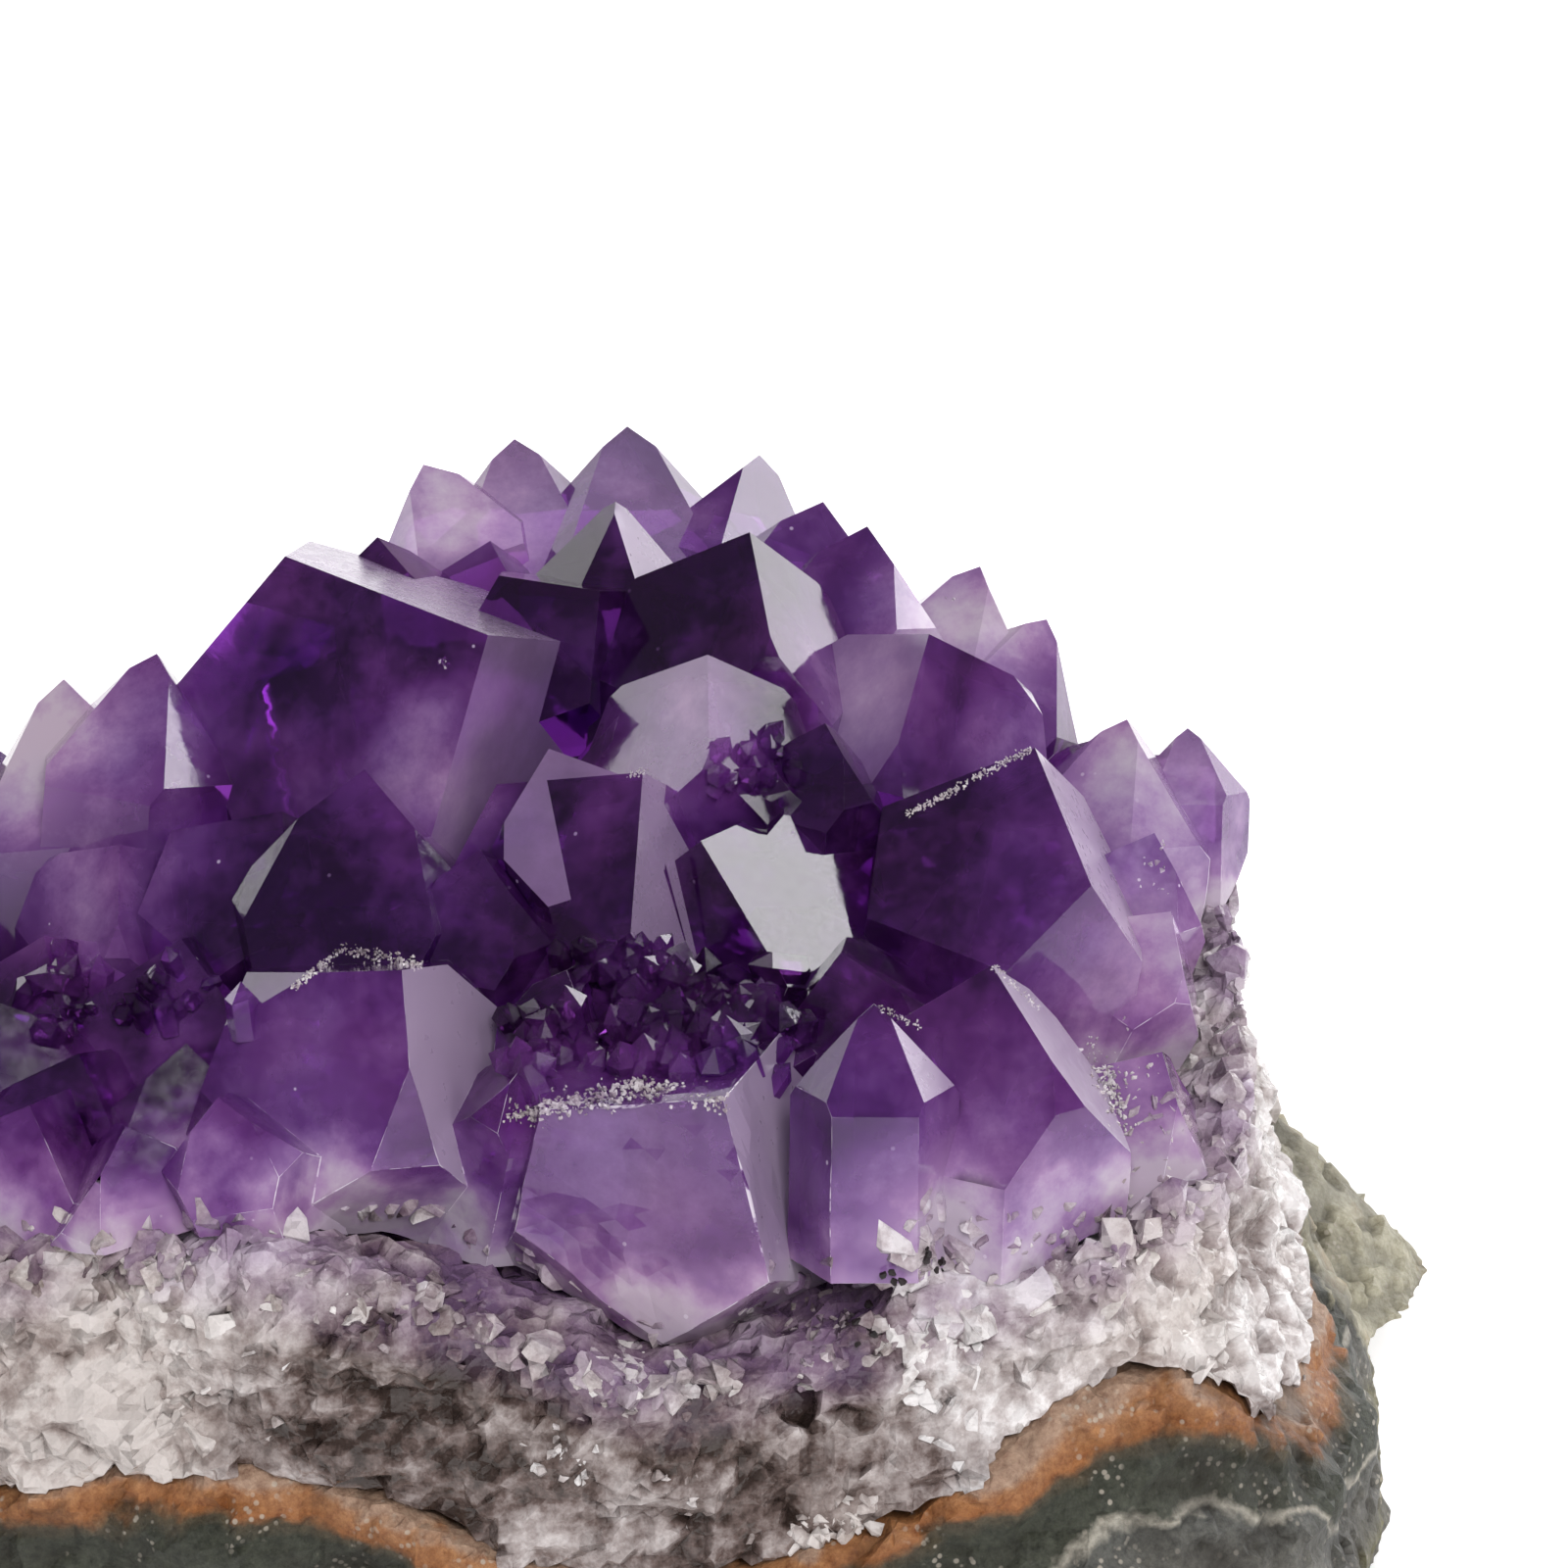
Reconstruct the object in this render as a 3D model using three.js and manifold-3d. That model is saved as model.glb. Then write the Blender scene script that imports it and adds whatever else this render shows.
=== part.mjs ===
// Amethyst cluster: purple quartz points grown together, on a pale quartz layer, on banded wall rock.
// Millimetres, +X to the viewer's right, -Y towards the viewer, +Z up. The origin is on the flat
// underside, below the middle of the whole specimen.
import * as THREE from 'three';
import { ConvexGeometry } from 'three/addons/geometries/ConvexGeometry.js';
import { mergeVertices } from 'three/addons/utils/BufferGeometryUtils.js';
import Module from 'manifold-3d';

const wasm = await Module();
wasm.setup();

const degrees = THREE.MathUtils.degToRad;

// How the photograph sees the specimen. Places are read off it as across and down, 0 to 1600.
const pictureMiddle = 800;
const pixelsPerMm = 15;
const sightDistance = 320;
const sightHeight = 52;
const lookDown = degrees(22);
const toRight = new THREE.Vector3(1, 0, 0);
const pictureUp = new THREE.Vector3(0, Math.sin(lookDown), Math.cos(lookDown));
const toViewer = new THREE.Vector3(0, -Math.cos(lookDown), Math.sin(lookDown));
const eye = new THREE.Vector3(0, 0, sightHeight).addScaledVector(toViewer, sightDistance);

// The quartz crystal: six sides, three greater and three lesser tip faces.
const tipFaceTilt = degrees(51.8); // between the long axis and the way a tip face looks
const lesserSetBack = 0.14; // of the half width
const crystalLength = 3.6; // of the half width

// The specimen.
const frontDepth = -40; // the broken front, before the origin is set under the middle
const contactGap = 0.3; // between touching pieces
const frontHalf = 5; // the rim belongs to the broken front as far back as this

// The surface that the crystals' roots end on.
const rootInside = 27; // its height just behind the front
const rootRise = 0.2; // and how much it rises per mm to the back
const rootRiseAtRight = 8;
const rightSlope = [18, 36]; // the places across between which it rises
const rootFallAtLeft = 8;
const leftSlope = [25, 70]; // and falls, to the left
const frontSlope = [4, 20]; // behind the front, between these, it leaves the line seen there
const rootRelief = 0.6;
const rootReliefSize = 11;

// The surface that the rock begins at.
const rockRise = 0.06; // per mm to the back
const rockRelief = 0.8;
const rockReliefSize = 13;

// The lump of quartz and rock.
const lumpMiddle = new THREE.Vector3(-20, 3, 0); // its sides are measured from here
const lumpTop = 56;
const rockFlare = 0.2; // how much wider the rock is at the right
const flareHeight = 36; // below this
const flareBottom = 4;
const flareSide = [10, 40]; // growing between these places to the right of the middle
const undercut = 4; // the flat underside is smaller than the specimen
const undercutHeight = 5;
const stoneRelief = 1.3; // the bigger lumps on the broken faces
const stoneReliefSize = 9;
const smallRelief = 0.8;
const smallReliefSize = 4.7;
const ledgeDepth = 0.5; // the broken front steps in and out by this
const ledgePitch = 7; // from one ledge to the next
const ledgeTop = 30;

// The angular flake of wall rock behind at the right: its corners in the picture and how far back.
const flakeCorners = [
  { seenAt: [1288, 1112], depth: 16 },
  { seenAt: [1465, 1298], depth: 14 },
  { seenAt: [1440, 1335], depth: 8 },
  { seenAt: [1395, 1372], depth: 2 },
  { seenAt: [1300, 1400], depth: 0 },
];
const flakeRoots = [
  { seenAt: [1180, 1300], depth: 6 },
  { seenAt: [1180, 1370], depth: 6 },
];
const flakeThickness = new THREE.Vector3(-6, 18, -2);
const flakeGap = 0.8;

// Crystals that the photograph doesn't show.
const hiddenTrials = 430; // places tried
const hiddenAcross = [-78, 34];
const hiddenBack = [-42, 46];
const hiddenHalf = [4, 7.8]; // half the width of the smallest and the biggest
const hiddenCrowding = 0.7; // how close two may stand, as a share of their widths
const hiddenHeight = 8; // over the roots, more for a wide one
const hiddenHeightShare = [0.8, 1.3]; // and this much from crystal to crystal
const hiddenLeast = 4;
const hiddenStep = 0.5; // each shortening of one that would stand above the skyline
const hiddenSpread = 0.009; // how much they lean outwards per mm from the middle
const hiddenLean = 0.45; // how much they lean at random
const hiddenSetBack = 0.35; // the most that their lesser tip faces are set back
const rootSpace = 5; // how far above the roots two crystals are compared
const rimSpace = 3.5; // left free at the rim
const shownFront = -22; // all crystals nearer than this are in the photograph
const shownRight = { across: 22, back: 12 }; // and those further right than this, up to this far back

// The specimen seen from above, before the origin is set: corners of its outline, across and back.
const outlineCorners = [
  [26, -31],
  [8, -39],
  [-14, -41],
  [-38, -37],
  [-60, -30],
  [-75, -10],
  [-74, 16],
  [-58, 35],
  [-30, 43],
  [0, 43],
  [20, 33],
  [30, 12],
  [31, -10],
];

// Where the purple roots end and where the rock begins on the broken front, read off the photograph.
const rootLine = [[0, 1290], [150, 1265], [300, 1275], [440, 1330], [560, 1380], [700, 1428],
  [800, 1395], [900, 1320], [1000, 1330], [1100, 1290], [1200, 1225], [1290, 1150]];
const bandLine = [[0, 1545], [200, 1500], [420, 1550], [640, 1625], [850, 1570], [960, 1510],
  [1040, 1425], [1120, 1400], [1200, 1385], [1300, 1365], [1355, 1295]];

// The outline of the crystals against the background, which the hidden ones stay under.
const skyline = [[-500, 800], [0, 715], [65, 692], [100, 712], [155, 668], [205, 668], [265, 575],
  [290, 550], [400, 540], [430, 480], [640, 440], [800, 490], [905, 535], [1000, 580], [1075, 640],
  [1085, 720], [1245, 748], [1265, 880], [1290, 1000], [1300, 1200]];
const skylineMargin = 22;

// Crystals that the photograph shows. seenAt: the tip, across and down; depth: how far back it lies;
// leans: its long axis as [right, up, to the viewer]; half: half its width; turn: the way its first
// greater face looks round the axis, from the viewer to the right; lesser: how far the lesser tip
// faces are set back, as a share of half.
const seenCrystals = [
  // the great leaning crystal at the back left and the two that follow its lean
  { seenAt: [498, 648], depth: -2, leans: [0.41, 0.4, 0.82], half: 14, turn: -24, lesser: 0.5,
    length: 2 },
  { seenAt: [612, 603], depth: 6, leans: [0.35, 0.5, 0.78], half: 6.5, turn: -24, lesser: 0.4 },
  { seenAt: [560, 764], depth: -7, leans: [-0.25, 0.9, 0.15], half: 7, turn: 12, lesser: 0.3 },
  // the middle rows
  { seenAt: [628, 512], depth: 16, leans: [0.05, 0.95, 0.3], half: 7.5, turn: -60, lesser: 0.05 },
  { seenAt: [765, 543], depth: 8, leans: [0.12, 0.93, 0.35], half: 8.5, turn: -42, lesser: 0.35 },
  { seenAt: [722, 668], depth: -5, leans: [0.05, 0.85, 0.45], half: 7, turn: -55, lesser: 0.35 },
  { seenAt: [948, 647], depth: 3, leans: [0.12, 0.75, 0.62], half: 9, turn: -68, lesser: 0.3 },
  { seenAt: [762, 738], depth: -6, leans: [0, 0.9, 0.44], half: 3.8, turn: -30, lesser: 0.2 },
  { seenAt: [842, 738], depth: -5, leans: [0.1, 0.9, 0.44], half: 4.4, turn: -20, lesser: 0.2 },
  { seenAt: [640, 720], depth: -3, leans: [0, 0.9, 0.44], half: 4, turn: 15, lesser: 0.1 },
  // the blurred rows behind
  { seenAt: [885, 537], depth: 22, leans: [0.1, 0.95, 0.2], half: 6.5, turn: -20, lesser: 0.2 },
  { seenAt: [1000, 578], depth: 24, leans: [0.2, 0.9, 0.2], half: 7, turn: -30, lesser: 0.1 },
  { seenAt: [1068, 632], depth: 22, leans: [0.5, 0.85, 0.1], half: 6, turn: 10, lesser: 0.1 },
  { seenAt: [640, 435], depth: 36, leans: [0, 0.95, 0.1], half: 9, turn: 10, lesser: 0.1 },
  { seenAt: [525, 448], depth: 36, leans: [-0.1, 0.95, 0.1], half: 8, turn: 0, lesser: 0.1 },
  { seenAt: [432, 474], depth: 33, leans: [-0.3, 0.9, 0.1], half: 6, turn: 20, lesser: 0.15 },
  { seenAt: [775, 464], depth: 35, leans: [0.25, 0.95, 0.1], half: 7, turn: 30, lesser: 0.1 },
  { seenAt: [840, 512], depth: 29, leans: [0.25, 0.95, 0.2], half: 6, turn: 0, lesser: 0.2 },
  { seenAt: [385, 548], depth: 18, leans: [-0.2, 0.9, 0.3], half: 7, turn: -30, lesser: 0.2 },
  { seenAt: [500, 552], depth: 23, leans: [0, 0.9, 0.3], half: 7, turn: -30, lesser: 0.2 },
  // the left side, on towards where the picture ends
  { seenAt: [372, 785], depth: -10, leans: [0, 0.93, 0.36], half: 9, turn: -12, lesser: 0.2 },
  { seenAt: [490, 867], depth: -15, leans: [0, 0.9, 0.44], half: 5.5, turn: -20, lesser: 0.2 },
  { seenAt: [288, 828], depth: -9, leans: [0.25, 0.8, 0.5], half: 7, turn: -35, lesser: 0.4 },
  { seenAt: [122, 862], depth: -8, leans: [0.1, 0.75, 0.65], half: 6, turn: -50, lesser: 0.3 },
  { seenAt: [185, 958], depth: -16, leans: [0.1, 0.8, 0.55], half: 9, turn: -5, lesser: 0.3 },
  { seenAt: [65, 693], depth: 8, leans: [-0.15, 0.95, 0.2], half: 8, turn: -20, lesser: 0.1 },
  { seenAt: [160, 667], depth: 6, leans: [0.1, 0.95, 0.2], half: 7, turn: -20, lesser: 0.1 },
  { seenAt: [45, 955], depth: -14, leans: [-0.1, 0.85, 0.5], half: 6.5, turn: -50, lesser: 0.3 },
  { seenAt: [80, 1075], depth: -24, leans: [0.1, 0.8, 0.6], half: 8, turn: -20, lesser: 0.2 },
  { seenAt: [190, 1065], depth: -24, leans: [0.1, 0.85, 0.5], half: 5.5, turn: 10, lesser: 0.2 },
  { seenAt: [-40, 1010], depth: -20, leans: [-0.2, 0.85, 0.5], half: 8, turn: 20, lesser: 0.2 },
  { seenAt: [30, 1128], depth: -30, leans: [0.1, 0.7, 0.7], half: 7.5, turn: -20, lesser: 0.3 },
  { seenAt: [128, 1150], depth: -33, leans: [-0.1, 0.8, 0.6], half: 5.5, turn: 20, lesser: 0.2 },
  { seenAt: [222, 1120], depth: -34, leans: [-0.2, 0.8, 0.55], half: 4.5, turn: -10, lesser: 0.2 },
  // the rows before the middle
  { seenAt: [1056, 763], depth: -8, leans: [0.16, 0.92, 0.36], half: 9.2, turn: -28, lesser: 0.4 },
  { seenAt: [715, 858], depth: -14, leans: [-0.35, 0.62, 0.7], half: 9.5, turn: -58, lesser: 0.5 },
  { seenAt: [656, 788], depth: -12, leans: [0.25, 0.8, 0.55], half: 9.5, turn: -45, lesser: 0.4 },
  // the broken-in hollow between them and the front row
  { seenAt: [578, 990], depth: -22, leans: [0.1, 0.9, 0.4], half: 4, turn: -30, lesser: 0.2 },
  { seenAt: [640, 1025], depth: -26, leans: [-0.3, 0.8, 0.5], half: 3.5, turn: 20, lesser: 0.1 },
  { seenAt: [700, 960], depth: -20, leans: [0.3, 0.8, 0.5], half: 4, turn: 0, lesser: 0.1 },
  { seenAt: [765, 1000], depth: -24, leans: [0, 0.9, 0.4], half: 4.5, turn: -10, lesser: 0.2 },
  { seenAt: [858, 972], depth: -24, leans: [-0.2, 0.7, 0.65], half: 5, turn: -10, lesser: 0.3 },
  { seenAt: [545, 1075], depth: -29, leans: [0.2, 0.85, 0.5], half: 4, turn: 30, lesser: 0.2 },
  // the front row
  { seenAt: [410, 990], depth: -30, leans: [0.28, 0.62, 0.72], half: 9.2, turn: -25, lesser: 0.22 },
  { seenAt: [738, 1122], depth: -37, leans: [0.22, 0.4, 0.88], half: 10.2, turn: -9, lesser: 0.5 },
  { seenAt: [892, 1024], depth: -33, leans: [0, 0.97, 0.25], half: 4.6, turn: 0, lesser: 0.1 },
  { seenAt: [1012, 985], depth: -28, leans: [0.02, 0.93, 0.36], half: 8.5, turn: -25, lesser: 0.3 },
  { seenAt: [1186, 1073], depth: -22, leans: [0.3, 0.85, 0.5], half: 6, turn: -20, lesser: 0.2 },
  // the right side
  { seenAt: [1150, 734], depth: 6, leans: [0.1, 0.95, 0.3], half: 6.5, turn: -30, lesser: 0.1 },
  { seenAt: [1212, 743], depth: 10, leans: [0.02, 0.95, 0.1], half: 3.9, turn: 0, lesser: 0.1 },
  { seenAt: [1178, 850], depth: -4, leans: [0.3, 0.85, 0.4], half: 5, turn: 0, lesser: 0.2 },
  { seenAt: [1195, 930], depth: -10, leans: [0.4, 0.8, 0.4], half: 5, turn: -20, lesser: 0.3 },
];

// The place on the sight line through a picture point that lies a given depth back.
function fromPicture([across, down], depth) {
  const sightLine = toViewer.clone().multiplyScalar(-sightDistance);
  sightLine.addScaledVector(toRight, (across - pictureMiddle) / pixelsPerMm);
  sightLine.addScaledVector(pictureUp, (pictureMiddle - down) / pixelsPerMm);
  return eye.clone().addScaledVector(sightLine, (depth - eye.y) / sightLine.y);
}

// Where a place is seen in the picture, across and down.
function seenIn(place) {
  const sightLine = place.clone().sub(eye);
  const scale = sightDistance * pixelsPerMm / -sightLine.dot(toViewer);
  return [pictureMiddle + sightLine.dot(toRight) * scale, pictureMiddle - sightLine.dot(pictureUp) * scale];
}

function fromLeans([right, up, near]) {
  const axis = toRight.clone().multiplyScalar(right);
  return axis.addScaledVector(pictureUp, up).addScaledVector(toViewer, near).normalize();
}

// The planes that bound one crystal: six sides, six tip faces and a foot.
function crystalPlanes({ tip, axis, half, turn, lesser = lesserSetBack, length = crystalLength }) {
  const front = toViewer.clone().projectOnPlane(axis).normalize();
  const side = front.clone().cross(axis).negate().normalize();
  const planes = [new THREE.Plane().setFromNormalAndCoplanarPoint(
    axis.clone().negate(), tip.clone().addScaledVector(axis, -length * half))];
  for (let face = 0; face < 6; face += 1) {
    const round = degrees(turn + 60 * face);
    const out = front.clone().multiplyScalar(Math.cos(round)).addScaledVector(side, Math.sin(round));
    const tipFace = axis.clone().multiplyScalar(Math.cos(tipFaceTilt));
    tipFace.addScaledVector(out, Math.sin(tipFaceTilt));
    const setBack = face % 2 === 0 ? 0 : lesser * half;
    planes.push(new THREE.Plane().setFromNormalAndCoplanarPoint(
      tipFace, tip.clone().addScaledVector(tipFace, setBack)));
    planes.push(new THREE.Plane().setFromNormalAndCoplanarPoint(
      out, tip.clone().addScaledVector(out, half)));
  }
  return planes;
}

// The corners of the solid inside a set of planes: the points where three of them meet that lie
// outside none.
function cornersWithin(planes) {
  const corners = [];
  const tolerance = 1e-6;
  for (let i = 0; i < planes.length; i += 1) {
    for (let j = i + 1; j < planes.length; j += 1) {
      for (let k = j + 1; k < planes.length; k += 1) {
        const crossing = planes[j].normal.clone().cross(planes[k].normal);
        const volume = planes[i].normal.dot(crossing);
        if (Math.abs(volume) > tolerance) {
          const corner = crossing.multiplyScalar(-planes[i].constant);
          corner.addScaledVector(planes[k].normal.clone().cross(planes[i].normal), -planes[j].constant);
          corner.addScaledVector(planes[i].normal.clone().cross(planes[j].normal), -planes[k].constant);
          corner.divideScalar(volume);
          if (planes.every((plane) => plane.distanceToPoint(corner) < tolerance)) {
            corners.push(corner);
          }
        }
      }
    }
  }
  return corners;
}

// One closed solid from a closed geometry.
function solidFrom(geometry) {
  geometry.deleteAttribute('normal');
  geometry.deleteAttribute('uv');
  const merged = mergeVertices(geometry, 1e-4);
  return new wasm.Manifold(new wasm.Mesh({
    numProp: 3,
    vertProperties: Float32Array.from(merged.attributes.position.array),
    triVerts: Uint32Array.from(merged.index.array),
  }));
}

function crystalSolid(crystal) {
  return solidFrom(new ConvexGeometry(cornersWithin(crystalPlanes(crystal))));
}

function meshFrom(solid, name, material) {
  const { vertProperties, triVerts } = solid.getMesh();
  const geometry = new THREE.BufferGeometry();
  geometry.setAttribute('position', new THREE.BufferAttribute(Float32Array.from(vertProperties), 3));
  geometry.setIndex(new THREE.BufferAttribute(Uint32Array.from(triVerts), 1));
  const mesh = new THREE.Mesh(geometry, material);
  mesh.name = name;
  return mesh;
}

// The corner that stands for all those joined to a corner.
function leaderOf(leader, vertex) {
  let top = vertex;
  while (leader[top] !== top) {
    leader[top] = leader[leader[top]];
    top = leader[top];
  }
  return top;
}

// The biggest closed shell of a solid: loose crumbs and sealed pockets are left out.
function biggestShell(solid) {
  const { vertProperties, triVerts } = solid.getMesh();
  const leader = Array.from({ length: vertProperties.length / 3 }, (_, vertex) => vertex);
  for (let i = 0; i < triVerts.length; i += 3) {
    leader[leaderOf(leader, triVerts[i + 1])] = leaderOf(leader, triVerts[i]);
    leader[leaderOf(leader, triVerts[i + 2])] = leaderOf(leader, triVerts[i]);
  }
  const shells = new Map();
  for (let i = 0; i < triVerts.length; i += 3) {
    const shell = leaderOf(leader, triVerts[i]);
    shells.set(shell, [...(shells.get(shell) ?? []), triVerts[i], triVerts[i + 1], triVerts[i + 2]]);
  }
  const biggest = [...shells.values()].sort((one, other) => other.length - one.length)[0];
  const geometry = new THREE.BufferGeometry();
  geometry.setAttribute('position', new THREE.BufferAttribute(Float32Array.from(vertProperties), 3));
  geometry.setIndex(biggest);
  return solidFrom(geometry);
}

// The places on the broken front where a line in the picture runs.
function alongFront(line) {
  return line.map((seenAt) => fromPicture(seenAt, frontEdge(fromPicture(seenAt, frontDepth).x)));
}

// How far back the front edge of the outline lies at a place across.
function frontEdge(x) {
  const before = rim.filter((point) => point.y < frontHalf);
  const nearest = before.sort((one, other) => Math.abs(one.x - x) - Math.abs(other.x - x));
  return Math.min(nearest[0].y, nearest[1].y);
}

// The height of a line on the broken front at a place across.
function heightAlong(places, x) {
  const next = places.findIndex((place) => place.x > x);
  if (next === 0) {
    return places[0].z;
  }
  if (next < 0) {
    return places[places.length - 1].z;
  }
  const share = (x - places[next - 1].x) / (places[next].x - places[next - 1].x);
  return THREE.MathUtils.lerp(places[next - 1].z, places[next].z, share);
}

const outline = new THREE.CatmullRomCurve3(
  outlineCorners.map(([x, y]) => new THREE.Vector3(x, y, 0)), true);
const rim = outline.getPoints(120);
const rootPlaces = alongFront(rootLine);
const bandPlaces = alongFront(bandLine);

// Smooth lumps, between -1 and 1, about one every twice the given size.
function lumps(x, y, z, size, start) {
  const k = Math.PI / size;
  return (Math.sin(k * x + start) * Math.cos(0.83 * k * z + 0.4 * k * y + 2 * start)
    + Math.sin(1.27 * k * y - 0.5 * k * z + 3 * start) * Math.cos(0.71 * k * x - 0.6 * k * z)) / 1.6;
}

// Where the purple crystals end downwards: as on the broken front, and rising to the back inside.
function rootHeight(x, y) {
  const sides = rootRiseAtRight * smooth(rightSlope, x) - rootFallAtLeft * smooth(leftSlope, -x);
  const inside = rootInside + rootRise * (y - frontDepth) + sides;
  const front = heightAlong(rootPlaces, x);
  return THREE.MathUtils.lerp(front, inside, smooth(frontSlope, y - frontDepth))
    + rootRelief * lumps(x, y, 0, rootReliefSize, 1);
}

// Where the rock begins: the bowl of the rust-brown band, carried through to the back.
function rockHeight(x, y) {
  return heightAlong(bandPlaces, x) + rockRise * (y - frontDepth)
    + rockRelief * lumps(x, y, 0, rockReliefSize, 2);
}

// A value from 0 to 1, rising smoothly between two limits.
function smooth([from, to], value) {
  return THREE.MathUtils.smoothstep(value, from, to);
}

// A block far wider than the specimen that fills everything above a surface.
function allAbove(surface, shift) {
  const reach = 102;
  const cell = 8.5;
  const geometry = new THREE.BoxGeometry(2 * reach, 2 * reach, reach, 2 * reach / cell, 2 * reach / cell, 1);
  const position = geometry.attributes.position;
  for (let i = 0; i < position.count; i += 1) {
    const level = surface(position.getX(i), position.getY(i)) + shift;
    position.setZ(i, position.getZ(i) < 0 ? level : 2 * reach);
  }
  return solidFrom(geometry);
}

// The whole lump of quartz and rock: the outline, pulled to its middle over the top and underneath.
function lumpSolid() {
  const around = 60;
  const sideRows = 15;
  const capRows = 2;
  const rows = sideRows + 2 * capRows;
  const geometry = new THREE.SphereGeometry(1, around, rows);
  const position = geometry.attributes.position;
  for (let row = 0; row <= rows; row += 1) {
    for (let column = 0; column <= around; column += 1) {
      const i = row * (around + 1) + column;
      const pull = Math.min(row, rows - row, capRows) / capRows;
      const share = THREE.MathUtils.clamp((row - capRows) / sideRows, 0, 1);
      const z = lumpTop * (1 - share);
      const place = outline.getPoint(1 - (column % around) / around).sub(lumpMiddle);
      const low = 1 - smooth([flareBottom, flareHeight], z);
      const flare = 1 + rockFlare * low * smooth(flareSide, place.x);
      const inset = z < undercutHeight ? undercut * (1 - z / undercutHeight) ** 2 : 0;
      const rough = stoneRelief * lumps(place.x, place.y, z, stoneReliefSize, 1)
        + smallRelief * lumps(place.x, place.y, z, smallReliefSize, 4);
      const ledge = z < ledgeTop ? ledgeDepth * Math.sin(2 * Math.PI * z / ledgePitch) : 0;
      const reach = (place.length() * flare + rough + ledge - inset) * pull;
      place.normalize().multiplyScalar(reach).add(lumpMiddle);
      position.setXYZ(i, place.x, place.y, z);
    }
  }
  return solidFrom(geometry);
}

// The flake, grown by a gap where it is to leave room.
function flakeSolid(grow) {
  const corners = flakeCorners.map(({ seenAt, depth }) => fromPicture(seenAt, depth));
  const behind = corners.map((corner) => corner.clone().add(flakeThickness));
  const roots = flakeRoots.map(({ seenAt, depth }) => fromPicture(seenAt, depth));
  const points = [...corners, ...behind, ...roots];
  const middle = points.reduce((sum, point) => sum.add(point), new THREE.Vector3())
    .divideScalar(points.length);
  for (const point of points) {
    point.add(point.clone().sub(middle).setLength(grow));
  }
  return solidFrom(new ConvexGeometry(points));
}

// A value between 0 and 1 that looks random but is the same every time.
function chance(seed) {
  const value = Math.sin(seed * 12.9898) * 43758.5453;
  return value - Math.floor(value);
}

// Crystals where the photograph doesn't reach: on past its left edge, behind, and between the others.
function hiddenCrystals(seen) {
  const placed = [...seen];
  for (let trial = 0; trial < hiddenTrials; trial += 1) {
    const x = THREE.MathUtils.lerp(...hiddenAcross, chance(trial));
    const y = THREE.MathUtils.lerp(...hiddenBack, chance(trial + 0.37));
    const half = THREE.MathUtils.lerp(...hiddenHalf, chance(trial + 0.61) ** 2);
    const fromRim = Math.min(...rim.map((point) => Math.hypot(point.x - x, point.y - y)));
    const foot = new THREE.Vector3(x, y, rootHeight(x, y));
    const crowded = placed.some((other) => isCrowded(foot, half, other));
    const inPicture = seenIn(foot)[0] > 0;
    const atShownRight = x > shownRight.across && y < shownRight.back;
    const onSeenRim = inPicture && (y < shownFront || atShownRight);
    if (fromRim > rimSpace && !crowded && !onSeenRim && isInside(rim, x, y)) {
      const outward = foot.clone().sub(lumpMiddle).multiplyScalar(hiddenSpread);
      const lean = new THREE.Vector3(chance(trial + 0.17) - 0.5, chance(trial + 0.83) - 0.5, 0);
      const axis = outward.addScaledVector(lean, hiddenLean).setZ(1).normalize();
      const share = THREE.MathUtils.lerp(...hiddenHeightShare, chance(trial + 0.29));
      const tip = tipUnderSkyline(foot, axis, share * (hiddenHeight + half));
      if (tip) {
        const turn = 360 * chance(trial + 0.45);
        placed.push({ tip, axis, half, turn, lesser: hiddenSetBack * chance(trial + 0.71) });
      }
    }
  }
  return placed.slice(seen.length);
}

// Whether a new crystal's foot comes too near another crystal, at the height of the roots.
function isCrowded(foot, half, other) {
  const along = (foot.z + rootSpace - other.tip.z) / other.axis.z;
  const at = other.tip.clone().addScaledVector(other.axis, along);
  return Math.hypot(at.x - foot.x, at.y - foot.y) < hiddenCrowding * (other.half + half);
}

// The tip of a crystal over its foot, lowered until the skyline hides it, or nothing if it is too low.
function tipUnderSkyline(foot, axis, fullHeight) {
  let height = fullHeight;
  const tip = foot.clone().addScaledVector(axis, height);
  while (height > hiddenLeast && showsAbove(skyline, seenIn(tip))) {
    height -= hiddenStep;
    tip.addScaledVector(axis, -hiddenStep);
  }
  return height > hiddenLeast ? tip : null;
}

// Whether a place in the picture is above the skyline, or closer to it than the margin.
function showsAbove(line, [across, down]) {
  const next = line.findIndex(([lineAcross]) => lineAcross > across);
  if (next <= 0) {
    return next < 0;
  }
  const [fromAcross, fromDown] = line[next - 1];
  const [toAcross, toDown] = line[next];
  const share = (across - fromAcross) / (toAcross - fromAcross);
  return down < THREE.MathUtils.lerp(fromDown, toDown, share) + skylineMargin;
}

// Whether a place lies inside a closed outline: a line to the right crosses it an odd number of times.
function isInside(line, x, y) {
  let inside = false;
  for (let i = 0; i < line.length; i += 1) {
    const one = line[i];
    const other = line[(i + 1) % line.length];
    const crosses = (one.y > y) !== (other.y > y);
    if (crosses && x < one.x + (other.x - one.x) * (y - one.y) / (other.y - one.y)) {
      inside = !inside;
    }
  }
  return inside;
}

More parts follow.
